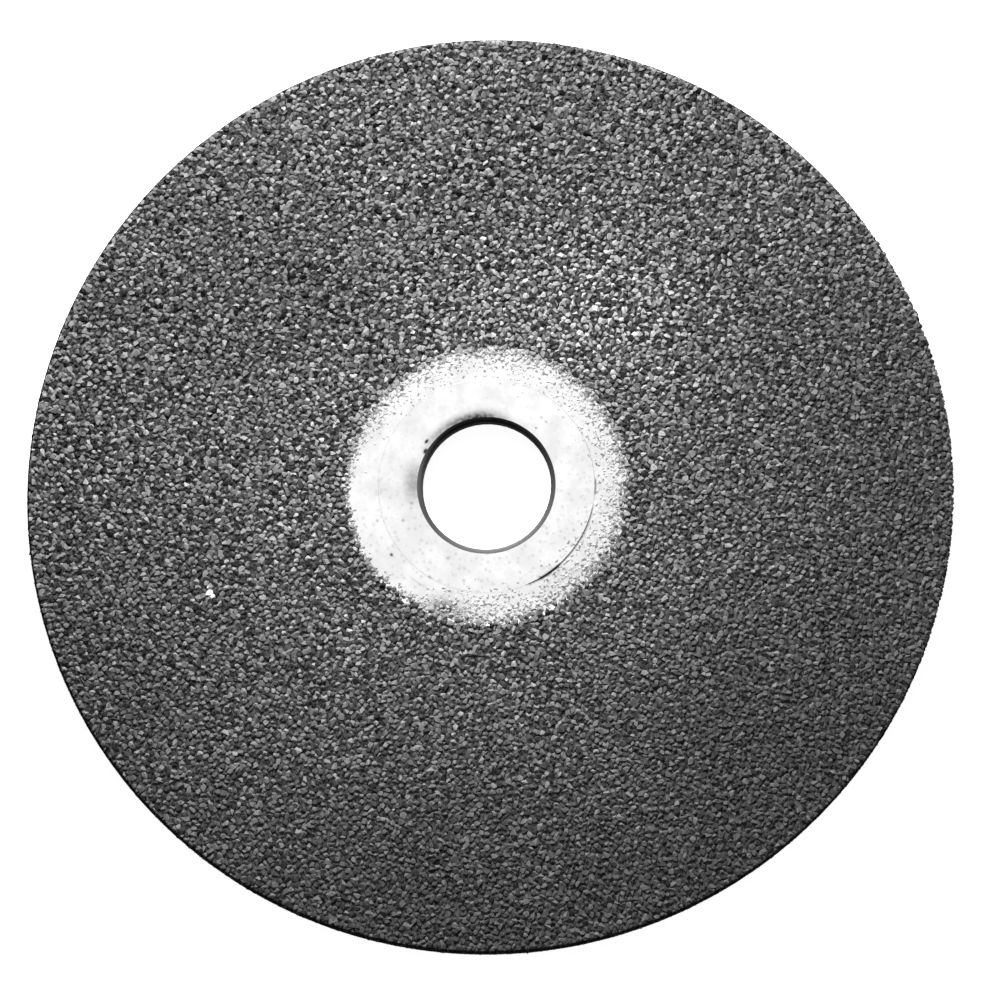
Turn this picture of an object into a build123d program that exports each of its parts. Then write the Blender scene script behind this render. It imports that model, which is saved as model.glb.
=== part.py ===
from build123d import *

import os

# Diamond grinding wheel for an arbor. A flat turned steel body carries one layer of
# diamond grit, plated on over its front face and round its rim. The middle of the
# front face stays bare, because that is where the clamping flange bears.
# Millimetres. The wheel lies on its back face, which is the plane z = 0. The origin is
# on the bore's axis, and +Z points out of the gritted face.

# Wheel
wheel_diameter = 160.0  # over the grit
bore_diameter = 22.225  # 7/8 in arbor
bore_front_radius = 0.7  # the bore rolls over softly into the clamped face
bore_back_chamfer = 0.3

# Steel body
hub_thickness = 2.8  # from the back face to the face that the flange clamps
boss_diameter = 37.4  # the raised flange seat round the bore
boss_step = 0.3  # how far that seat stands above the land under the grit
boss_edge_chamfer = 0.1
front_corner_chamfer = 0.5  # broken, because plating builds up on a sharp corner
back_edge_chamfer = 0.3

# Grit
grit_thickness = 0.6  # one grain and the nickel that holds it
grit_corner_radius = 1.2  # outside, where the grit turns down the rim
bare_diameter = 47.2  # the land shows bright inside this circle
feather_width = 2.0  # the grit thins out over this width towards the bare land
skirt_height = 0.6  # bare steel left between the back face and the grit on the rim
skirt_feather = 0.4

wheel_radius = wheel_diameter / 2
bore_radius = bore_diameter / 2
boss_radius = boss_diameter / 2
bare_radius = bare_diameter / 2
body_radius = wheel_radius - grit_thickness
land_height = hub_thickness - boss_step
grit_face_height = land_height + grit_thickness
grit_corner_height = grit_face_height - grit_corner_radius


def circles_at(part, radius, height):
    """The circular edges of a part that have this radius and lie at this height."""
    tolerance = 1e-4
    return part.edges().filter_by(GeomType.CIRCLE).filter_by(
        lambda edge: abs(edge.radius - radius) < tolerance
        and abs(edge.center().Z - height) < tolerance
    )


# The body is turned from plate in one piece: a flat back, a land for the grit and a
# low boss round the bore.
with BuildPart() as steel_body:
    with BuildSketch(Plane.XZ):
        with BuildLine():
            Polyline(
                (bore_radius, 0),
                (body_radius, 0),
                (body_radius, land_height),
                (boss_radius, land_height),
                (boss_radius, hub_thickness),
                (bore_radius, hub_thickness),
                close=True,
            )
        make_face()
    revolve(axis=Axis.Z)
    fillet(circles_at(steel_body, bore_radius, hub_thickness), bore_front_radius)
    chamfer(circles_at(steel_body, bore_radius, 0), bore_back_chamfer)
    chamfer(circles_at(steel_body, boss_radius, hub_thickness), boss_edge_chamfer)
    chamfer(circles_at(steel_body, body_radius, land_height), front_corner_chamfer)
    chamfer(circles_at(steel_body, body_radius, 0), back_edge_chamfer)
steel_body.part.label = "steel_body"

# The grit follows the body: over the land, round the corner and down the rim. It is
# feathered at both ends, and its own corner is round.
with BuildPart() as grit_coating:
    with BuildSketch(Plane.XZ):
        with BuildLine():
            Polyline(
                (wheel_radius, grit_corner_height),
                (wheel_radius, skirt_height + skirt_feather),
                (body_radius, skirt_height),
                (body_radius, land_height - front_corner_chamfer),
                (body_radius - front_corner_chamfer, land_height),
                (bare_radius, land_height),
                (bare_radius + feather_width, grit_face_height),
                (wheel_radius - grit_corner_radius, grit_face_height),
            )
            CenterArc(
                (wheel_radius - grit_corner_radius, grit_corner_height),
                grit_corner_radius,
                start_angle=0,
                arc_size=90,
            )
        make_face()
    revolve(axis=Axis.Z)
grit_coating.part.label = "grit_coating"

os.makedirs("parts", exist_ok=True)
for piece in (steel_body, grit_coating):
    export_step(piece.part, f"parts/{piece.part.label}.step")
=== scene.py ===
import math

import bmesh
import bpy
import numpy as np
from mathutils import Matrix, Vector, kdtree, noise


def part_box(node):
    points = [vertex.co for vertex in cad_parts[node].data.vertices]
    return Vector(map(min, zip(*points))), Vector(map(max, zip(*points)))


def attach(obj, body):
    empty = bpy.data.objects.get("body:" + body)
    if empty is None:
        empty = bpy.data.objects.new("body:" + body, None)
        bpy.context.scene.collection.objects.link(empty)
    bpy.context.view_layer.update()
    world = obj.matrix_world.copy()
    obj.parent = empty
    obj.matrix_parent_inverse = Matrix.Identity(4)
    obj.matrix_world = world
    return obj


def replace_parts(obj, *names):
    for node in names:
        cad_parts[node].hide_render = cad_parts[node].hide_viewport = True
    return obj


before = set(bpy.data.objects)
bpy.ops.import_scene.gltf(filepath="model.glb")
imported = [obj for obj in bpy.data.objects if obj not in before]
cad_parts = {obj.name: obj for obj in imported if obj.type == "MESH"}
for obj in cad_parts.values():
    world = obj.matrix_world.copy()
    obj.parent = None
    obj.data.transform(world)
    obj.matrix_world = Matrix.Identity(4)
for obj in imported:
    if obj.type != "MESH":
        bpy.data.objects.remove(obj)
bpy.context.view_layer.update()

# A flat diamond grinding wheel. The turned steel body is the CAD node, with a better
# finish. The coating's node gives way to the plated bond and to its single grains.
# Everything is in metres, in the frame of the CAD.

MM = 0.001
TURN = 2 * math.pi
random = np.random.default_rng(20)

# Sizes from the CAD pieces
coating_low, coating_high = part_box("grit_coating")
wheel_radius = coating_high.x
coating_top = coating_high.z
coating_foot = coating_low.z
coating_thickness = wheel_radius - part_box("steel_body")[1].x

# Sizes of the steel body that its box doesn't give
bore_radius = 11.1125 * MM
bore_roll = 0.7 * MM  # the radius with which the bore turns into the clamped face
boss_radius = 18.7 * MM

# The coating's section, along its outer surface from the wheel's axis to the rim's foot
corner_radius = 1.2 * MM
corner_start = wheel_radius - corner_radius
corner_length = corner_radius * math.pi / 2
rim_length = coating_top - corner_radius - coating_foot
whole_travel = corner_start + corner_length + rim_length

# Where the bare land gives way to grit. The masked circle sat a little off the axis.
mask_radius = 24.5 * MM
mask_shift = Vector((0.2, 0.25)) * MM
feather_least = 1.2 * MM
feather_lobes = (  # middle in degrees from +X, half width in degrees, extra width
    (135, 28, 3.0 * MM),
    (80, 40, 3.2 * MM),
    (15, 40, 3.5 * MM),
    (-45, 35, 4.2 * MM),
    (-95, 24, 3.9 * MM),
)

# Bond
bond_thickness = 0.14 * MM
bond_lap = 0.02 * MM  # how far its underside is let into the steel
bond_columns = 900
bond_waves = 0.04 * MM  # how far its surface goes up and down
bond_wave_size = 1.1 * MM
bond_edge_inset = 0.3 * MM  # how far it reaches in towards the hub from the full grit
bond_edge_waves = 0.35 * MM
bond_edge_ripples = ((9, 1.0), (30, 0.7))  # how fine, and how strong
bond_rise = (  # distance from its edge on the hub, and share of the thickness there
    (0.0, 0.0),
    (0.15 * MM, 0.35),
    (0.5 * MM, 0.7),
    (1.0 * MM, 0.9),
)
bond_full = 2 * MM  # this far from that edge it has its full thickness
bond_fall = 0.15 * MM  # it ends over this length, at the rim's foot
bond_fall_share = 0.6  # of the thickness, where that starts
flat_rows = 60  # of its corners over the face
bend_rows = 12  # round the corner
rim_rows = 7  # and down the rim
rim_build = 0.37 * MM  # nickel gathers on the rim and nearly buries the grains there
rim_build_start = corner_start + 0.4 * corner_length
rim_build_full = corner_start + 0.75 * corner_length
rough_rim = (6, 22)  # but not in this sector: its middle and half width in degrees

# Grains
grain_gap = 0.74 * MM  # between the middles of the closest grains
grain_tries = 8.0  # places tried for each square of that size
grain_radius = 0.57 * MM
grain_radius_spread = 0.16  # of its logarithm
grain_radius_limits = (0.7, 1.35)  # as shares of the radius
grain_tip = 0.59 * MM  # the tallest tips stand this far above the steel
grain_sink = 0.3  # the lowest tips stand lower by this share
rim_sink = 0.3  # but by this share of that on the rim
grain_foot = 0.02 * MM  # their lowest corners lie this far above the bond's underside
grain_lowest = 0.55 * MM  # over the back face's plane, at the rim's foot
grain_highest = coating_top + 0.05 * MM  # the tallest are worn down to this plane
grain_lean = math.radians(18)
boss_clear = 0.2 * MM  # grains keep this far from the boss
rim_clear = 0.3 * MM  # and this far from the rim's foot
travel_steps = 2000  # in which the coating's area is added up
thinning = 1.5  # the power with which the grit thins out over the feather
lone_radius = 0.4  # where it has thinned out to nothing, a grain has this share of its size
lone_tip = 0.25  # and this share of its height
lone_tones = (0.7, 1.0)  # and a tone between these
neighbours = 6
tone_contrast = 1.0  # how much a grain's tone is pushed away from its neighbours' mean
facet_spread = 0.1  # of the tones from facet to facet
zones = (  # the pieces that the grains go into, and how far out each of them ends
    ("grains_hub", 42 * MM),
    ("grains_inner", 56 * MM),
    ("grains_outer", 67 * MM),
    ("grains_edge", 76.5 * MM),
    ("grains_rim", whole_travel),
)

# One crystal stands out on the face
pale_grain = (-47.6 * MM, -18.2 * MM)
pale_radius = 1.9 * grain_radius
pale_tip = 1.2 * grain_tip
pale_tone = 2.0  # so far past 1 that no facet of it is darker than 1

# The grains' shapes, on a radius of about 1
shape_count = 48
shape_spread = (0.85, 1.15)
block_stretch = (1.15, 0.95, 0.95)
block_jitter = 0.06
splinter_corners = 8
splinter_tries = 12  # for each corner, of which the one farthest from the others is taken
splinter_stretch = (1.3, 0.9, 0.85)

# Small crumbs of grit that stuck to the bare land
crumb_count = 1300
crumb_reach = 0.5  # their mean distance from the grit, as a share of the feather
crumb_trim = 0.8 * MM  # left off the feather for that, so that its narrow parts stay clean
crumb_clear = 0.5 * MM  # they keep this far from the boss
crumb_density = 0.15  # the highest that a crumb has, where full grit has 1

# Materials. A grey goes from 0, black, to 1, white. A noise is given by its size, detail
# and roughness. A span is where a pattern starts and ends, on a noise's scale from 0 to 1
# or in metres, and a share is how much of a colour then covers the one below.
noise_range = (0.3, 0.7)  # nearly all the values of a noise lie in it

# Painted fill light: a grey haze over the grit that pulls its tones towards one grey and so lifts
# its shade, most of it on the lower right of the face
fill_grey = 0.2
fill_most = 0.52
fill_slope = 0.5  # of the lines along which it is even
fill_span = (-70 * MM, 85 * MM)  # from none to the most, across those lines

# Painted shade: the rim is darker than the face, most of all in a sector on the lower side, which
# faces away from the lamp
rim_dark = 0.03  # of the tone that it would have on the face
rim_dark_depth = 0.2 * MM
rim_dark_extra = 0.6 * MM  # it reaches this much further in, in one sector
dark_rim = (-115, 100)  # the middle of that sector and its half width in degrees

# Bare steel
front_heights = (1 * MM, 2 * MM)  # the finish of the back gives way to that of the front
steel_cloud = (4 * MM, 4.0, 0.6)
front_greys = (0.84, 0.93)
back_greys = (0.44, 0.56)
fine_rings = (0.12 * MM, 3.0, 0.6)  # left by the turning tool
fine_ring_span = (0.35, 0.75)
fine_ring_share = 0.08
fine_ring_grey = 0.6
broad_rings = (1.6 * MM, 2.0, 0.5)  # their tone shows on the back only
broad_ring_span = (0.35, 0.7)
broad_ring_share = 0.35
broad_ring_grey = 0.34
broad_ring_weight = 1.5  # in the relief, where the fine ones have 1
ring_depth = 0.004 * MM
steel_roughness = (0.18, 0.26)
steel_roughness_span = (0.25, 0.75)
dull_roughness = 0.6  # more than that, in the bore and on the boss's wall
steel_specular = 0.05

# Round flecks, most of them on the lower half of the hub
fleck_gap = 1.1 * MM
fleck_span = (0.1, 0.42)  # dark out to the first share of the gap, and clean past the second
fleck_share = 0.32
fleck_grey = 0.42
fleck_heights = (12 * MM, -8 * MM)  # they are fewest above the first y
fleck_fewest = 0.25

# Stains in the sectors where the coating is feathered. They run together outwards.
stain_noise = (0.6 * MM, 1.0, 0.5)
stain_least = 0.5 * MM  # how far in they reach outside those sectors
stain_growth = 0.14  # added to their noise over each such reach outwards
stain_span = (0.42, 0.58)
stain_share = 0.8
stain_grey = 0.14

# Marks on the bare hub: radius, degrees from +X, half depth, half width in degrees, and
# how dark the middle is, where 1 is full
hub_marks = (
    (12.9 * MM, 143, 0.22 * MM, 1.7, 1.6),
    (12.1 * MM, 150, 0.30 * MM, 2.0, 1.8),
    (20.2 * MM, -143.8, 0.26 * MM, 0.8, 1.1),
    (13.1 * MM, 49.1, 0.16 * MM, 0.9, 0.8),
    (15.1 * MM, 51, 0.20 * MM, 0.9, 0.5),
    (15.05 * MM, 46.7, 0.18 * MM, 0.9, 0.5),
    (18.8 * MM, 30.3, 0.18 * MM, 0.6, 0.4),
    (22.6 * MM, 140.8, 0.30 * MM, 0.9, 1.3),
    (22.4 * MM, 131, 0.28 * MM, 0.8, 0.9),
    (21.2 * MM, 149, 0.24 * MM, 0.7, 0.5),
    (18.6 * MM, -121.6, 0.24 * MM, 0.8, 0.5),
    (17.0 * MM, -103, 0.26 * MM, 0.9, 0.4),
    (14.3 * MM, -117.5, 0.26 * MM, 1.1, 0.4),
    (15.5 * MM, -157.2, 0.26 * MM, 1.0, 0.5),
    (19.7 * MM, -162.4, 0.24 * MM, 0.8, 0.45),
    (13.2 * MM, -166.7, 0.28 * MM, 1.2, 0.5),
    (21.1 * MM, -9.7, 0.28 * MM, 0.8, 0.7),
    (20.5 * MM, -125.5, 0.10 * MM, 4.5, 0.3),
)

# Broad smudges and painted shade, which are uneven: as above. The three at the bore's edge, from
# its top round to its left, are painted shade where the rounded edge turns away from the lamp. The
# one farther out on the left darkens the face there, and the two lower down are smudges.
hub_smudges_and_shade = (
    (11.9 * MM, 100, 1.1 * MM, 26, 1.1),
    (12.3 * MM, 128, 0.8 * MM, 20, 0.5),
    (12.4 * MM, 178, 1.9 * MM, 15, 0.6),
    (22.4 * MM, -108, 1.3 * MM, 6.5, 1.1),
    (21.3 * MM, -45, 1.8 * MM, 28, 0.14),
    (16.0 * MM, 160, 2.6 * MM, 34, 0.07),
)
smudge_and_shade_noise = (0.7 * MM, 0.0, 0.5)
smudge_and_shade_least = 0.75  # of its darkness, where a smudge or a patch of painted shade is thin
mark_grey = 0.04

# The wall of the boss is dull over part of the way round, and a painted shadow lies at its foot on
# the right and lower right, where the step faces away from the lamp.
# Angles in degrees: where each stretch starts, is full, starts to end, and ends.
wall_inset = 0.05 * MM
wall_depth = 0.1 * MM
wall_grey = 0.72
wall_stretch = (-70, -66, -14, -9)
boss_shadow_grey = 0.01
boss_shadow_lines = (  # distance from the wall, half depth, and stretches with their shares
    (0.1 * MM, 0.16 * MM, (((-67, -64, -16, -9), 0.5), ((-6, -5, 2, 4), 0.7))),
    (0.08 * MM, 0.26 * MM, (((-63, -59, -50, -46), 1.0),)),
)

# Painted shade: the bore and its rounded edge are dark, with painted light on their lower and left
# sides
bore_edge_waves = 0.12 * MM  # how unevenly they end
bore_edge_width = 0.3 * bore_roll  # over which they give way to the bright face
bore_shade_grey = 0.006
bore_painted_light = ((-75, 74, 0.17), (172, 26, 0.075))  # painted light: middle, half width in degrees, extra grey

# Plated nickel between the grains
nickel_greys = (0.015, 0.11)
nickel_bright = 0.7  # its grey where it thins out towards the hub
nickel_bright_span = (mask_radius + 0.7 * MM, mask_radius + 1.4 * MM)
nickel_cloud = (0.8 * MM, 3.0, 0.6)
nickel_ragged = 2.4 * MM  # how far that limit goes in and out
nickel_nodules = (0.5 * MM, 3.0, 0.6)
nodule_span = (0.42, 0.68)
nodule_depth = 0.05 * MM
nickel_fill_span = (0.4, 0.6)  # the painted fill light lies on the nodules' tops
nickel_fill_most = 1.3  # and this much of it, where the grit has 1
nickel_fill_grey = 0.6 * fill_grey
nickel_roughness = (0.5, 0.7)
dark_specular = 0.03  # of the nickel and of the grit

# Grit
grit_greys = (  # by the tone of a facet
    (0.0, 0.01),
    (0.12, 0.08),
    (0.3, 0.28),
    (0.5, 0.43),
    (0.8, 0.58),
    (0.95, 0.78),
    (1.0, 0.95),
)
grit_cloud = (9 * MM, 3.0, 0.55)
grit_cloud_least = 0.8
grit_veins = (0.3 * MM, 2.0, 0.6)
grit_vein_least = 0.7
grit_roughness = (0.35, 0.55)
# Painted light and shade over the grit of the face, in broad strokes
outer_shade = 0.6  # the tones at the rim, where those at the hub are 1
outer_shade_span = (26 * MM, 75 * MM)
painted_highlight = (12.5 * MM, 32 * MM)  # the middle of the painted highlight on the grit of the face
painted_highlight_rest = 0.82  # the tones away from it
painted_highlight_span = (6 * MM, 24 * MM)
painted_light_patches = (  # broad and faint painted light and shade: x, y, how far they reach, and the change in tone
    (-32 * MM, 34 * MM, 17 * MM, -0.38),
    (3 * MM, 50 * MM, 16 * MM, -0.24),
    (-46 * MM, -7 * MM, 13 * MM, -0.12),
    (27 * MM, 29 * MM, 13 * MM, 0.2),
    (56 * MM, 46 * MM, 15 * MM, 0.2),
    (50 * MM, 21 * MM, 9 * MM, -0.15),
    (42 * MM, -40 * MM, 14 * MM, -0.2),
    (-44 * MM, -50 * MM, 22 * MM, 0.2),
    (-73 * MM, 6 * MM, 18 * MM, 0.22),
)
crumb_grey = 0.75  # crumbs far in on the bare land are pale
crumb_share = 0.75
crumb_span = (mask_radius - 3 * MM, mask_radius - 0.3 * MM)
pale_grain_grey = 0.95
pale_grain_span = (0.9 * MM, 1.4 * MM)  # how far round its middle that grey reaches
pale_grain_tones = (0.8, 1.0)  # and on which facets

# Stage, light and camera
floor_reach = 3.0
floor_drop = 0.02 * MM  # below the wheel's back
floor_grey = 0.8
floor_roughness = 0.9
floor_glow = 0.91  # where the camera or a mirror sees it
world_light = 0.12  # its strength as a source of light, where it looks like 1
key_place = (-0.04, 0.24, 0.19)
key_aim = (0, 0.01, 0)
key_size = 0.1
key_watts = 1.9
camera_tilt = (-9.837, -3.419)  # degrees round X and round Y
camera_distance = 0.5414
camera_slide = Vector((2.36, -2.524)) * MM  # in its picture's plane
camera_aim_height = coating_top - 0.6 * MM
camera_lens = 113.3  # millimetres
camera_sensor = 36  # millimetres


def lobe(angle, middle, half_width):
    """1 in the middle of a sector, falling smoothly to 0 outside it. The sector is given in
    degrees, and the angle in radians."""
    away = (np.degrees(angle) - middle + 180) % 360 - 180
    return np.exp(-((away / half_width) ** 2))


def coating_point(travel, height):
    """The radius, z and outward normal of points this high above the coated steel."""
    turned = np.clip((travel - corner_start) / corner_radius, 0, math.pi / 2)
    normal_r, normal_z = np.sin(turned), np.cos(turned)
    down = np.maximum(travel - corner_start - corner_length, 0)
    out = corner_radius - coating_thickness + height
    radius = np.minimum(travel, corner_start) + out * normal_r
    z = coating_top - corner_radius - down + out * normal_z
    return radius, z, normal_r, normal_z


def ring(travel, height, angles):
    """Points in the frame, this far along the coating's section, this high above the coated
    steel and at these angles round the axis."""
    radius, z, _, _ = coating_point(travel, height)
    return np.stack((radius * np.cos(angles), radius * np.sin(angles), z), axis=1)


def bare_edge(angle):
    """The radius at which the grit is as dense as anywhere, by the angle round the axis."""
    along = mask_shift.x * np.cos(angle) + mask_shift.y * np.sin(angle)
    return mask_radius + along


def feather(angle):
    """The width over which the grit thins out towards the hub."""
    extra = sum(width * lobe(angle, middle, half) for middle, half, width in feather_lobes)
    return feather_least + extra


def built_up(travel, angle):
    """How much thicker than elsewhere the bond is on the rim."""
    down = np.clip((travel - rim_build_start) / (rim_build_full - rim_build_start), 0, 1)
    return rim_build * (1 - lobe(angle, *rough_rim)) * down * down * (3 - 2 * down)


def mesh_piece(name, corners, faces, material):
    """A mesh object in the frame that rides on the wheel."""
    mesh = bpy.data.meshes.new(name)
    mesh.from_pydata(corners, [], faces)
    mesh.materials.append(material)
    piece = bpy.data.objects.new(name, mesh)
    bpy.context.scene.collection.objects.link(piece)
    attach(piece, "root")
    return piece


# Materials


def grey(value):
    """A neutral colour, from black at 0 to white at 1."""
    return (value, value, value, 1.0)


class Nodes:
    """A node tree. Its methods add nodes to it and return what comes out of them."""

    def __init__(self, tree):
        self.tree = tree

    def node(self, kind, inputs=None, **settings):
        """A new node, with its inputs fed by values or by what comes out of other nodes."""
        made = self.tree.nodes.new(kind)
        for name, value in settings.items():
            setattr(made, name, value)
        for name, value in (inputs or {}).items():
            self.feed(made.inputs[name], value)
        return made

    def feed(self, socket, value):
        """Sets an input to a value, or links it to what comes out of another node."""
        if isinstance(value, bpy.types.NodeSocket):
            self.tree.links.new(value, socket)
        else:
            socket.default_value = value

    def math(self, operation, *values):
        """What a sum done on the values comes to."""
        inputs = dict(enumerate(values))
        return self.node("ShaderNodeMath", inputs, operation=operation).outputs[0]

    def product(self, first, *others):
        """All the values multiplied."""
        for other in others:
            first = self.math("MULTIPLY", first, other)
        return first

    def step(self, value, start, end, low=0.0, high=1.0):
        """From low to high, smoothly, as value goes from start to end."""
        inputs = {"Value": value, "From Min": start, "From Max": end, "To Min": low, "To Max": high}
        made = self.node("ShaderNodeMapRange", inputs, interpolation_type="SMOOTHSTEP")
        return made.outputs["Result"]

    def blend(self, share, first, second, kind="MIX"):
        """One colour turned into another by share."""
        made = self.node("ShaderNodeMix", data_type="RGBA", blend_type=kind)
        for place, value in ((0, share), (6, first), (7, second)):
            self.feed(made.inputs[place], value)
        return made.outputs[2]

    def ramp(self, value, stops):
        """A grey read off a ramp of (position, grey) stops."""
        made = self.node("ShaderNodeValToRGB", {"Fac": value})
        elements = made.color_ramp.elements
        for position, level in stops[1:-1]:
            elements.new(position).color = grey(level)
        for element, (position, level) in ((elements[0], stops[0]), (elements[-1], stops[-1])):
            element.position = position
            element.color = grey(level)
        return made.outputs["Color"]

    def seen(self):
        """1 for what the camera or a glossy surface sees, and 0 for what lights the part."""
        paths = self.node("ShaderNodeLightPath").outputs
        return self.math("MAXIMUM", paths["Is Camera Ray"], paths["Is Glossy Ray"])


class Shading(Nodes):
    """A new material, with its pattern laid out on the wheel. Its radius is measured from
    the wheel's axis in metres, and its angle from +X in radians."""

    def __init__(self, name):
        self.material = bpy.data.materials.new(name)
        self.material.use_nodes = True
        super().__init__(self.material.node_tree)
        self.shader = self.tree.nodes["Principled BSDF"]
        self.place = self.node("ShaderNodeTexCoord").outputs["Object"]
        split = self.node("ShaderNodeSeparateXYZ", {"Vector": self.place}).outputs
        self.x, self.y, self.z = split["X"], split["Y"], split["Z"]
        self.radius = self.distance(0, 0)
        self.angle = self.math("ARCTAN2", self.y, self.x)

    def set(self, **values):
        """Sets the shader's inputs, with _ for a space in their names."""
        for name, value in values.items():
            self.feed(self.shader.inputs[name.replace("_", " ")], value)

    def noise(self, size, detail, roughness, place=None):
        """Noise from 0 to 1 with features of about this size."""
        inputs = {
            "Vector": place or self.place,
            "Scale": 1 / size,
            "Detail": detail,
            "Roughness": roughness,
        }
        return self.node("ShaderNodeTexNoise", inputs).outputs["Fac"]

    def specks(self, size):
        """How far a point lies from the nearest of many scattered ones, as a share of their
        mean spacing. Low values make round specks."""
        inputs = {"Vector": self.place, "Scale": 1 / size}
        return self.node("ShaderNodeTexVoronoi", inputs).outputs["Distance"]

    def bump(self, height, depth):
        """The normals of a surface raised by up to this depth."""
        return self.node("ShaderNodeBump", {"Height": height, "Distance": depth}).outputs["Normal"]

    def distance(self, x, y):
        """How far a point lies from the line through x and y along the wheel's axis."""
        along = self.math("SUBTRACT", self.x, x)
        across = self.math("SUBTRACT", self.y, y)
        squares = self.math("MULTIPLY_ADD", along, along, self.math("MULTIPLY", across, across))
        return self.math("SQRT", squares)

    def bell(self, away, half_width):
        """1 where away is 0, falling smoothly to 0 on both sides."""
        share = self.math("DIVIDE", away, half_width)
        return self.math("EXPONENT", self.product(share, share, -1.0))

    def band(self, radius, half_depth):
        """1 on a circle round the wheel's axis, falling smoothly to 0 on both sides."""
        return self.bell(self.math("SUBTRACT", self.radius, radius), half_depth)

    def sector(self, middle, half_width):
        """1 in the middle of a sector, falling smoothly to 0 outside it. Degrees."""
        away = self.math("SUBTRACT", self.angle, math.radians(middle))
        away = self.math("WRAP", away, math.pi, -math.pi)
        return self.bell(away, math.radians(half_width))

    def window(self, rise_start, rise_end, fall_start, fall_end):
        """1 between two angles, falling smoothly to 0 outside them. Degrees."""
        rise = self.step(self.angle, math.radians(rise_start), math.radians(rise_end))
        fall = self.step(self.angle, math.radians(fall_start), math.radians(fall_end), 1.0, 0.0)
        return self.product(rise, fall)

    def painted_fill(self):
        """How much of the tone the painted fill light hides: a grey haze that lifts the shade."""
        across = self.math("SUBTRACT", self.product(self.x, fill_slope), self.y)
        return self.step(across, *fill_span, 0.0, fill_most)

    def rim_shade(self):
        """Painted shade: 1 on the face, and near 0 on the rim."""
        extra = self.product(self.sector(*dark_rim), rim_dark_extra)
        reach = self.math("ADD", self.radius, extra)
        return self.step(reach, wheel_radius - rim_dark_depth, wheel_radius, 1.0, rim_dark)


def turned_steel():
    """Bright turned steel with flecks and the marks of handling, and painted shade in the bore,
    round its edge and at the boss's foot.
    """
    shading = Shading("turned_steel")
    front = shading.step(shading.z, *front_heights)
    cloud = shading.noise(*steel_cloud)
    turned = {"X": shading.radius, "Z": shading.z}
    ring_place = shading.node("ShaderNodeCombineXYZ", turned).outputs[0]
    fine = shading.noise(*fine_rings, ring_place)
    broad = shading.noise(*broad_rings, ring_place)

    colour = clean_steel(shading, front, cloud, fine, broad)
    colour = flecked(shading, front, colour)
    colour = stained(shading, front, colour)
    colour = marked(shading, front, colour)
    colour, dull_wall = shaded_boss(shading, colour)
    colour, bore = shaded_bore(shading, cloud, colour)
    dull = shading.math("MAXIMUM", bore, dull_wall)
    smooth = shading.step(cloud, *steel_roughness_span, *steel_roughness)
    relief = shading.math("MULTIPLY_ADD", broad, broad_ring_weight, fine)
    shading.set(
        Base_Color=colour,
        Metallic=shading.math("SUBTRACT", 1.0, dull),
        Roughness=shading.math("MULTIPLY_ADD", dull, dull_roughness, smooth),
        Specular_IOR_Level=steel_specular,
        Normal=shading.bump(relief, ring_depth),
    )
    return shading.material


def clean_steel(shading, front, cloud, fine, broad):
    """The colour of the steel without dirt: cloudy, and ringed by the turning tool."""
    clouds = shading.step(cloud, *noise_range)
    colour = shading.blend(clouds, *map(grey, front_greys))
    ringed = shading.step(fine, *fine_ring_span, 0, fine_ring_share)
    colour = shading.blend(ringed, colour, grey(fine_ring_grey))
    back = shading.blend(clouds, *map(grey, back_greys))
    ringed = shading.step(broad, *broad_ring_span, 0, broad_ring_share)
    back = shading.blend(ringed, back, grey(broad_ring_grey))
    return shading.blend(front, back, colour)


def flecked(shading, front, colour):
    """The colour with round flecks on it."""
    many = shading.step(shading.y, *fleck_heights, fleck_fewest, 1.0)
    flecks = shading.step(shading.specks(fleck_gap), *fleck_span, fleck_share, 0)
    return shading.blend(shading.product(flecks, many, front), colour, grey(fleck_grey))


def stained(shading, front, colour):
    """The colour with stains between the bare land and the grit."""
    reach = stain_least
    for middle, half_width, width in feather_lobes:
        reach = shading.math("MULTIPLY_ADD", shading.sector(middle, half_width), width, reach)
    outward = shading.math("DIVIDE", shading.math("SUBTRACT", shading.radius, mask_radius), reach)
    blots = shading.noise(*stain_noise)
    blots = shading.math("MULTIPLY_ADD", outward, stain_growth, blots)
    stains = shading.step(blots, *stain_span, 0.0, stain_share)
    return shading.blend(shading.product(stains, front), colour, grey(stain_grey))


def marked(shading, front, colour):
    """The colour with the marks and smudges of handling, and painted shade round the bore's edge.
    """
    uneven = shading.step(shading.noise(*smudge_and_shade_noise), *noise_range, smudge_and_shade_least, 1.0)
    uneven = shading.product(uneven, front)
    # Marks and smudges, and painted shade round the bore's edge
    for marks, cover in ((hub_marks, front), (hub_smudges_and_shade, uneven)):
        for radius, middle, half_depth, half_width, dark in marks:
            patch = shading.product(
                shading.band(radius, half_depth), shading.sector(middle, half_width), dark, cover
            )
            colour = shading.blend(patch, colour, grey(mark_grey))
    return colour


def shaded_boss(shading, colour):
    """The colour with the boss's dull wall and the painted shadow at its foot, and how dull it is.
    """
    wall = shading.band(boss_radius - wall_inset, wall_depth)
    dull = shading.product(wall, shading.window(*wall_stretch))
    colour = shading.blend(dull, colour, grey(wall_grey))
    for away, half_depth, stretches in boss_shadow_lines:
        shares = [shading.product(shading.window(*angles), share) for angles, share in stretches]
        along = shares[0]
        for share in shares[1:]:
            along = shading.math("MAXIMUM", along, share)
        # Painted shadow at the foot of the boss's wall
        painted_shadow = shading.product(shading.band(boss_radius + away, half_depth), along)
        colour = shading.blend(painted_shadow, colour, grey(boss_shadow_grey))
    return colour, dull


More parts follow.
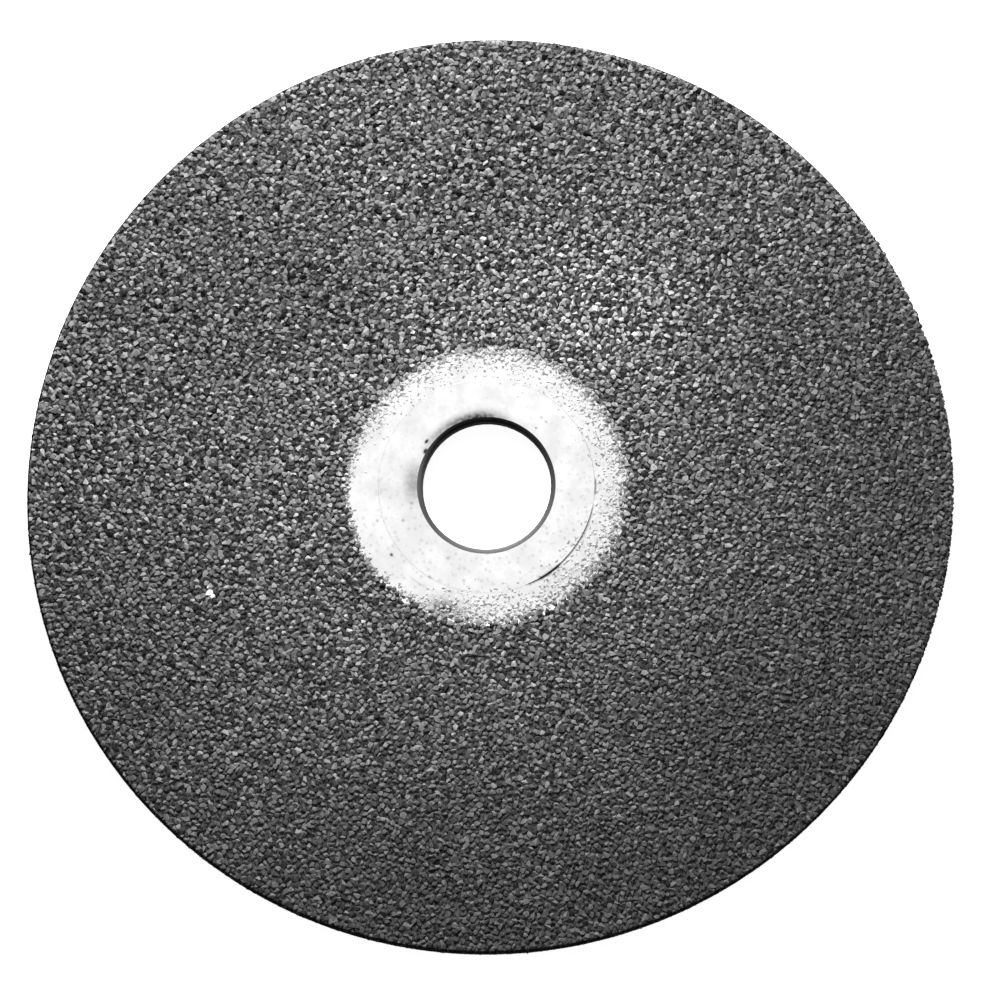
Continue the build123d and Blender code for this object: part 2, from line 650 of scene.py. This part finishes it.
def shaded_bore(shading, cloud, colour):
    """The colour with painted shade in the bore and on its rounded edge, lighter on the lower and
    left sides with painted light, and how far a point belongs to them.
    """
    edge = shading.math("MULTIPLY_ADD", cloud, -bore_edge_waves, shading.radius)
    rolled = bore_radius + bore_roll
    bore = shading.step(edge, rolled, rolled + bore_edge_width, 1, 0)
    # Painted shade, lifted by painted light in some sectors
    level = bore_shade_grey
    for middle, half_width, light in bore_painted_light:
        level = shading.math("MULTIPLY_ADD", shading.sector(middle, half_width), light, level)
    return shading.blend(bore, colour, level), bore


def dull_nickel():
    """The plated bond between the grains: dark and uneven, but bright where it thins out."""
    shading = Shading("dull_nickel")
    cloud = shading.noise(*nickel_cloud)
    nodules = shading.noise(*nickel_nodules)
    ragged = shading.math("MULTIPLY_ADD", cloud, nickel_ragged, shading.radius)
    bright = shading.step(ragged, *nickel_bright_span, 1.0, 0.0)
    colour = shading.blend(shading.step(nodules, *nodule_span), *map(grey, nickel_greys))
    # Painted fill light: a grey haze on the nodules' tops lifts the bond's shade
    tops = shading.step(nodules, *nickel_fill_span, 0.0, nickel_fill_most)
    colour = shading.blend(shading.product(shading.painted_fill(), tops), colour, grey(nickel_fill_grey))
    # Painted shade on the rim
    colour = shading.blend(1.0, colour, shading.rim_shade(), "MULTIPLY")
    shading.set(
        Base_Color=shading.blend(bright, colour, grey(nickel_bright)),
        Metallic=bright,
        Roughness=shading.step(nodules, *noise_range, *nickel_roughness),
        Specular_IOR_Level=dark_specular,
        Normal=shading.bump(nodules, nodule_depth),
    )
    return shading.material


def grit():
    """Crystals from near black to pale grey. Each facet carries its own tone."""
    shading = Shading("grit")
    tone = shading.node("ShaderNodeAttribute", attribute_name="tone").outputs["Fac"]
    cloud = shading.noise(*grit_cloud)
    veins = shading.noise(*grit_veins)
    low, high = noise_range
    veined = shading.ramp(veins, ((low, grit_vein_least), (high, 1.0)))
    clouded = shading.ramp(cloud, ((low, grit_cloud_least), (high, 1.0)))
    # Painted fill light: a grey haze over the tones lifts their shade
    colour = shading.blend(shading.painted_fill(), shading.ramp(tone, grit_greys), grey(fill_grey))
    # The tone darkened by noise, by painted shade on the rim and by painted light and shade over
    # the face
    for cover in (veined, clouded, shading.rim_shade(), painted_face_light(shading)):
        colour = shading.blend(1.0, colour, cover, "MULTIPLY")
    bare = shading.step(shading.radius, *crumb_span, crumb_share, 0.0)
    colour = shading.blend(bare, colour, grey(crumb_grey))
    spot = shading.step(shading.distance(*pale_grain), *pale_grain_span, 1.0, 0.0)
    pale = shading.product(spot, shading.step(tone, *pale_grain_tones))
    shading.set(
        Base_Color=shading.blend(pale, colour, grey(pale_grain_grey)),
        Roughness=shading.step(veins, *noise_range, *grit_roughness),
        Specular_IOR_Level=dark_specular,
    )
    return shading.material


def painted_face_light(shading):
    """Painted light and shade over the grit of the face, in broad strokes: darker towards the rim,
    a painted highlight up and right of the hub, and broad painted patches.
    """
    light = shading.product(
        shading.step(shading.radius, *outer_shade_span, 1.0, outer_shade),
        shading.step(shading.distance(*painted_highlight), *painted_highlight_span, 1.0, painted_highlight_rest),
    )
    for x, y, reach, change in painted_light_patches:
        patch = shading.bell(shading.distance(x, y), reach)
        light = shading.product(light, shading.math("MULTIPLY_ADD", patch, change, 1.0))
    return light


# Bond


def bond_rows():
    """Rows of the bond from the hub's edge to the rim's foot: how far each lies from the
    edge along the section, and its share of the thickness. Then how far those of its
    underside lie, which are few, as it is plane under the face."""
    flat = np.linspace(bond_full, corner_start - mask_radius, flat_rows)
    bend = np.linspace(0, corner_length, bend_rows)[1:] + corner_start - mask_radius
    down = np.linspace(0, rim_length, rim_rows)[1:-1] + corner_start + corner_length - mask_radius
    end = whole_travel - mask_radius
    full = [(travel, 1.0) for travel in (*flat, *bend, *down)]
    outside = [*bond_rise, *full, (end - bond_fall, bond_fall_share), (end, 0.0)]
    under = [travel for travel, _ in outside[1:-1] if not flat[0] < travel < flat[-1]]
    return outside, under


def ragged_edge(angles):
    """The radius at which the bond starts, by the angle round the axis."""
    ripples = 0
    for level, (fineness, strength) in enumerate(bond_edge_ripples):
        places = [Vector((math.cos(a), math.sin(a), 2 * level)) * fineness for a in angles]
        ripples = ripples + strength * np.array([noise.noise(place) for place in places])
    return bare_edge(angles) + bond_edge_waves * ripples - bond_edge_inset


def make_bond(material):
    """The nickel that holds the grains: a thin skin over the land, the corner and the rim."""
    angles = np.arange(bond_columns) * TURN / bond_columns
    edge = ragged_edge(angles)
    outside, under = bond_rows()
    end = whole_travel - mask_radius
    corners = []
    for travel, share in outside:
        along = edge + travel * (whole_travel - edge) / end
        places = ring(along, 0, angles)
        waves = np.array([noise.noise(Vector(place) / bond_wave_size) for place in places])
        thickness = bond_thickness + bond_waves * waves + built_up(along, angles)
        height = share * thickness - bond_lap * (share == 0)
        corners.append(ring(along, height, angles))
    for travel in reversed(under):
        along = edge + travel * (whole_travel - edge) / end
        corners.append(ring(along, -bond_lap, angles))
    faces = loop_faces(len(corners), bond_columns)
    piece = mesh_piece("nickel_bond", np.concatenate(corners), faces, material)
    piece.data.shade_smooth()
    return piece


def loop_faces(rows, columns):
    """Quads over a closed tube of rows, each of them a closed ring."""
    row, column = np.meshgrid(np.arange(rows), np.arange(columns), indexing="ij")
    next_row, next_column = (row + 1) % rows, (column + 1) % columns
    quads = (
        row * columns + column,
        next_row * columns + column,
        next_row * columns + next_column,
        row * columns + next_column,
    )
    return np.stack(quads, axis=-1).reshape(-1, 4).tolist()


# Grains


def hull(points):
    """The convex hull of some points, as corners and triangles."""
    made = bmesh.new()
    for point in points:
        made.verts.new(point)
    bmesh.ops.convex_hull(made, input=made.verts)
    bmesh.ops.delete(made, geom=[v for v in made.verts if not v.link_faces], context="VERTS")
    bmesh.ops.triangulate(made, faces=made.faces)
    made.verts.index_update()
    corners = np.array([v.co for v in made.verts])
    triangles = np.array([[v.index for v in face.verts] for face in made.faces])
    made.free()
    return corners, triangles


def block_shape():
    """A blocky crystal: a cube with its corners cut back to the middle of its edges."""
    signs = (-1, 1)
    middles = [(a, b, 0) for a in signs for b in signs]
    middles += [(a, 0, b) for a in signs for b in signs]
    middles += [(0, a, b) for a in signs for b in signs]
    points = np.array(middles) / math.sqrt(2)
    points *= block_stretch * random.uniform(*shape_spread, 3)
    return hull(points + random.normal(0, block_jitter, points.shape))


def splinter_shape():
    """A crushed crystal: the hull of a few points spread over a drawn-out ball."""
    points = []
    while len(points) < splinter_corners:
        tries = random.normal(size=(splinter_tries, 3))
        tries /= np.linalg.norm(tries, axis=1)[:, None]
        gaps = [min((np.linalg.norm(t - p) for p in points), default=1) for t in tries]
        points.append(tries[int(np.argmax(gaps))])
    points = np.array(points) * random.uniform(*shape_spread, (splinter_corners, 1))
    return hull(points * splinter_stretch)


def random_turns(count):
    """Rotation matrices that lay a grain's long axis nearly flat, in any direction."""
    lean = turn_matrices(random.normal(0, grain_lean, count), 2, 0)
    roll = turn_matrices(random.uniform(0, TURN, count), 1, 2)
    spin = turn_matrices(random.uniform(0, TURN, count), 0, 1)
    return spin @ lean @ roll


def turn_matrices(angles, first, second):
    """One rotation matrix for each angle, in the plane of two of the axes."""
    turns = np.tile(np.eye(3), (len(angles), 1, 1))
    turns[:, first, first] = turns[:, second, second] = np.cos(angles)
    turns[:, second, first] = np.sin(angles)
    turns[:, first, second] = -np.sin(angles)
    return turns


def tree_of(places):
    """A tree in which the neighbours of a place are quick to find."""
    tree = kdtree.KDTree(len(places))
    for number, place in enumerate(places):
        tree.insert(place, number)
    tree.balance()
    return tree


def scatter():
    """Travel and angle of every grain. Places are tried all over the coating, and each
    one taken keeps the later ones at a distance."""
    along = np.linspace(boss_radius + boss_clear, whole_travel, travel_steps)
    around = TURN * coating_point(along, coating_thickness)[0]
    area = np.concatenate(([0], np.cumsum((around[1:] + around[:-1]) / 2 * np.diff(along))))
    count = int(grain_tries * area[-1] / grain_gap ** 2)
    travel = np.interp(random.uniform(0, area[-1], count), area, along)
    angle = random.uniform(0, TURN, count)
    places = ring(travel, coating_thickness, angle).tolist()
    tree = tree_of(places)
    free = np.ones(count, bool)
    for number, place in enumerate(places):
        if free[number]:
            for _, other, _ in tree.find_range(place, grain_gap):
                free[other] = other <= number and free[other]
    return travel[free], angle[free]


def scatter_crumbs():
    """Travel and angle of the crumbs: the fewer, the farther they are from the grit."""
    angle = random.uniform(0, TURN, crumb_count)
    away = (feather(angle) - crumb_trim) * random.exponential(crumb_reach, crumb_count)
    travel = np.maximum(bare_edge(angle) - away, boss_radius + crumb_clear)
    return travel, angle


def lay_grains():
    """Travel, angle and density of every grain and crumb. The density is 1 in full grit."""
    travel, angle = scatter()
    outward = (travel - bare_edge(angle)) / feather(angle)
    density = np.clip(outward + 1, 0, 1) ** thinning
    kept = (random.uniform(size=len(travel)) < density) & (travel < whole_travel - rim_clear)
    crumb_travel, crumb_angle = scatter_crumbs()
    crumb_densities = random.uniform(0, crumb_density, crumb_count)
    return (
        np.concatenate((travel[kept], crumb_travel)),
        np.concatenate((angle[kept], crumb_angle)),
        np.concatenate((density[kept], crumb_densities)),
    )


def grain_tones(travel, angle):
    """From 0, near black, to 1, pale: as many of each, and dark ones beside pale ones."""
    places = ring(travel, coating_thickness, angle).tolist()
    own = random.uniform(size=len(places))
    tree = tree_of(places)
    near = [[number for _, number, _ in tree.find_n(place, neighbours + 1)[1:]] for place in places]
    levels = own - tone_contrast * own[np.array(near)].mean(1)
    return levels.argsort().argsort() / len(levels)


def grain_traits():
    """Arrays with a value for each grain: where it sits, how it is turned, and its looks."""
    travel, angle, density = lay_grains()
    count = len(travel)
    spread = np.clip(random.lognormal(0, grain_radius_spread, count), *grain_radius_limits)
    size = grain_radius * spread
    size *= lone_radius + (1 - lone_radius) * density
    sink = random.uniform(0, grain_sink, count) * np.where(travel > corner_start, rim_sink, 1)
    tip = grain_tip * (1 - sink) * (lone_tip + (1 - lone_tip) * density)
    turns = random_turns(count)
    kind = random.integers(shape_count, size=count)
    tone = grain_tones(travel, angle) * density
    tone += (1 - density) * random.uniform(*lone_tones, count)
    pale_x, pale_y = pale_grain
    pale = np.argmin(np.hypot(travel * np.cos(angle) - pale_x, travel * np.sin(angle) - pale_y))
    travel[pale] = math.hypot(pale_x, pale_y)
    angle[pale] = math.atan2(pale_y, pale_x)
    tone[pale] = pale_tone
    size[pale] = pale_radius
    tip[pale] = pale_tip
    return kind, tone, {"travel": travel, "angle": angle, "size": size, "tip": tip, "turns": turns}


def grain_corners(points, travel, angle, size, tip, turns):
    """Corners in the frame of the grains of one shape. The highest of each grain stands at
    the height of its tip, and the lowest go no deeper than the bond."""
    local = np.einsum("nij,vj->nvi", turns, points) * size[:, None, None]
    out, side, high = np.moveaxis(local, 2, 0)
    rise = tip[:, None] - high.max(1, keepdims=True) + high
    rise = np.maximum(rise, grain_foot - bond_lap)
    travel, angle = travel[:, None], angle[:, None]
    radius, z, normal_r, normal_z = coating_point(travel, 0)
    far = radius + rise * normal_r + out * normal_z
    up = np.clip(z + rise * normal_z - out * normal_r, grain_lowest, grain_highest)
    x = far * np.cos(angle) - side * np.sin(angle)
    y = far * np.sin(angle) + side * np.cos(angle)
    return np.stack((x, y, up), axis=-1).reshape(-1, 3)


def make_grains(material):
    """Single crystals, each closed, sunk into the bond with its tip near a common level, in
    one piece for each zone."""
    shapes = [block_shape() if n % 2 else splinter_shape() for n in range(shape_count)]
    kind, tone, traits = grain_traits()
    zone = np.searchsorted([end for _, end in zones[:-1]], traits["travel"])
    for z, (name, _) in enumerate(zones):
        corners, faces, tones, base = [], [], [], 0
        for k, (points, triangles) in enumerate(shapes):
            chosen = np.flatnonzero((zone == z) & (kind == k))
            count = len(chosen)
            own_traits = {trait: values[chosen] for trait, values in traits.items()}
            corners.append(grain_corners(points, **own_traits))
            starts = base + np.arange(count) * len(points)
            faces.append((triangles + starts[:, None, None]).reshape(-1, 3))
            wobble = random.normal(0, facet_spread, (count, len(triangles)))
            tones.append(np.clip(tone[chosen, None] + wobble, 0, 1).ravel())
            base += count * len(points)
        faces = np.concatenate(faces).tolist()
        piece = mesh_piece(name, np.concatenate(corners), faces, material)
        attribute = piece.data.attributes.new("tone", "FLOAT", "FACE")
        attribute.data.foreach_set("value", np.concatenate(tones).astype(np.float32))


steel_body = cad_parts["steel_body"]
steel_body.data.materials.clear()
steel_body.data.materials.append(turned_steel())
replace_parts(make_bond(dull_nickel()), "grit_coating")
make_grains(grit())


# Stage, light and camera


def make_floor():
    """A pale floor. Its glow makes it white to look at, and lights nothing. It is clear
    from below, so that the wheel's back shows there."""
    square = ((-1, -1), (1, -1), (1, 1), (-1, 1))
    corners = [(x * floor_reach, y * floor_reach, -floor_drop) for x, y in square]
    mesh = bpy.data.meshes.new("floor")
    mesh.from_pydata(corners, [], [(0, 1, 2, 3)])
    material = bpy.data.materials.new("floor")
    material.use_nodes = True
    tree = material.node_tree
    nodes = Nodes(tree)
    shader = tree.nodes["Principled BSDF"]
    shader.inputs["Base Color"].default_value = grey(floor_grey)
    shader.inputs["Roughness"].default_value = floor_roughness
    strength = nodes.product(nodes.seen(), floor_glow)
    glow = nodes.node("ShaderNodeEmission", {"Color": grey(1.0), "Strength": strength})
    both = nodes.node("ShaderNodeAddShader", {0: shader.outputs[0], 1: glow.outputs[0]})
    below = nodes.node("ShaderNodeNewGeometry").outputs["Backfacing"]
    clear = nodes.node("ShaderNodeBsdfTransparent")
    surface = nodes.node("ShaderNodeMixShader", {0: below, 1: both.outputs[0], 2: clear.outputs[0]})
    tree.links.new(surface.outputs[0], tree.nodes["Material Output"].inputs["Surface"])
    mesh.materials.append(material)
    floor = bpy.data.objects.new("floor", mesh)
    bpy.context.scene.collection.objects.link(floor)


def make_world():
    """White where it is seen or mirrored, and dimmer as a source of light."""
    world = bpy.data.worlds.new("studio")
    bpy.context.scene.world = world
    world.use_nodes = True
    nodes = Nodes(world.node_tree)
    background = world.node_tree.nodes["Background"]
    nodes.feed(background.inputs["Color"], grey(1.0))
    nodes.feed(background.inputs["Strength"], nodes.step(nodes.seen(), 0.0, 1.0, world_light, 1.0))


def make_key_lamp():
    """One round soft lamp, behind the top of the wheel."""
    data = bpy.data.lights.new("key", "AREA")
    data.shape = "DISK"
    data.size = key_size
    data.energy = key_watts
    lamp = bpy.data.objects.new("key", data)
    bpy.context.scene.collection.objects.link(lamp)
    toward = Vector(key_aim) - Vector(key_place)
    lamp.location = key_place
    lamp.rotation_euler = toward.to_track_quat("-Z", "Y").to_euler()
    lamp.visible_camera = False


def make_camera():
    """Looks down on the face, a little from its lower right."""
    tilt_x, tilt_y = map(math.radians, camera_tilt)
    tilt = Matrix.Rotation(tilt_x, 3, "X") @ Matrix.Rotation(tilt_y, 3, "Y")
    place = tilt.transposed() @ Vector((*camera_slide, camera_distance))
    place.z += camera_aim_height
    data = bpy.data.cameras.new("camera")
    data.sensor_width = camera_sensor
    data.lens = camera_lens
    camera = bpy.data.objects.new("camera", data)
    bpy.context.scene.collection.objects.link(camera)
    camera.matrix_world = Matrix.Translation(place) @ tilt.transposed().to_4x4()
    bpy.context.scene.camera = camera


make_floor()
make_world()
make_key_lamp()
make_camera()
bpy.context.scene.view_settings.view_transform = "Standard"
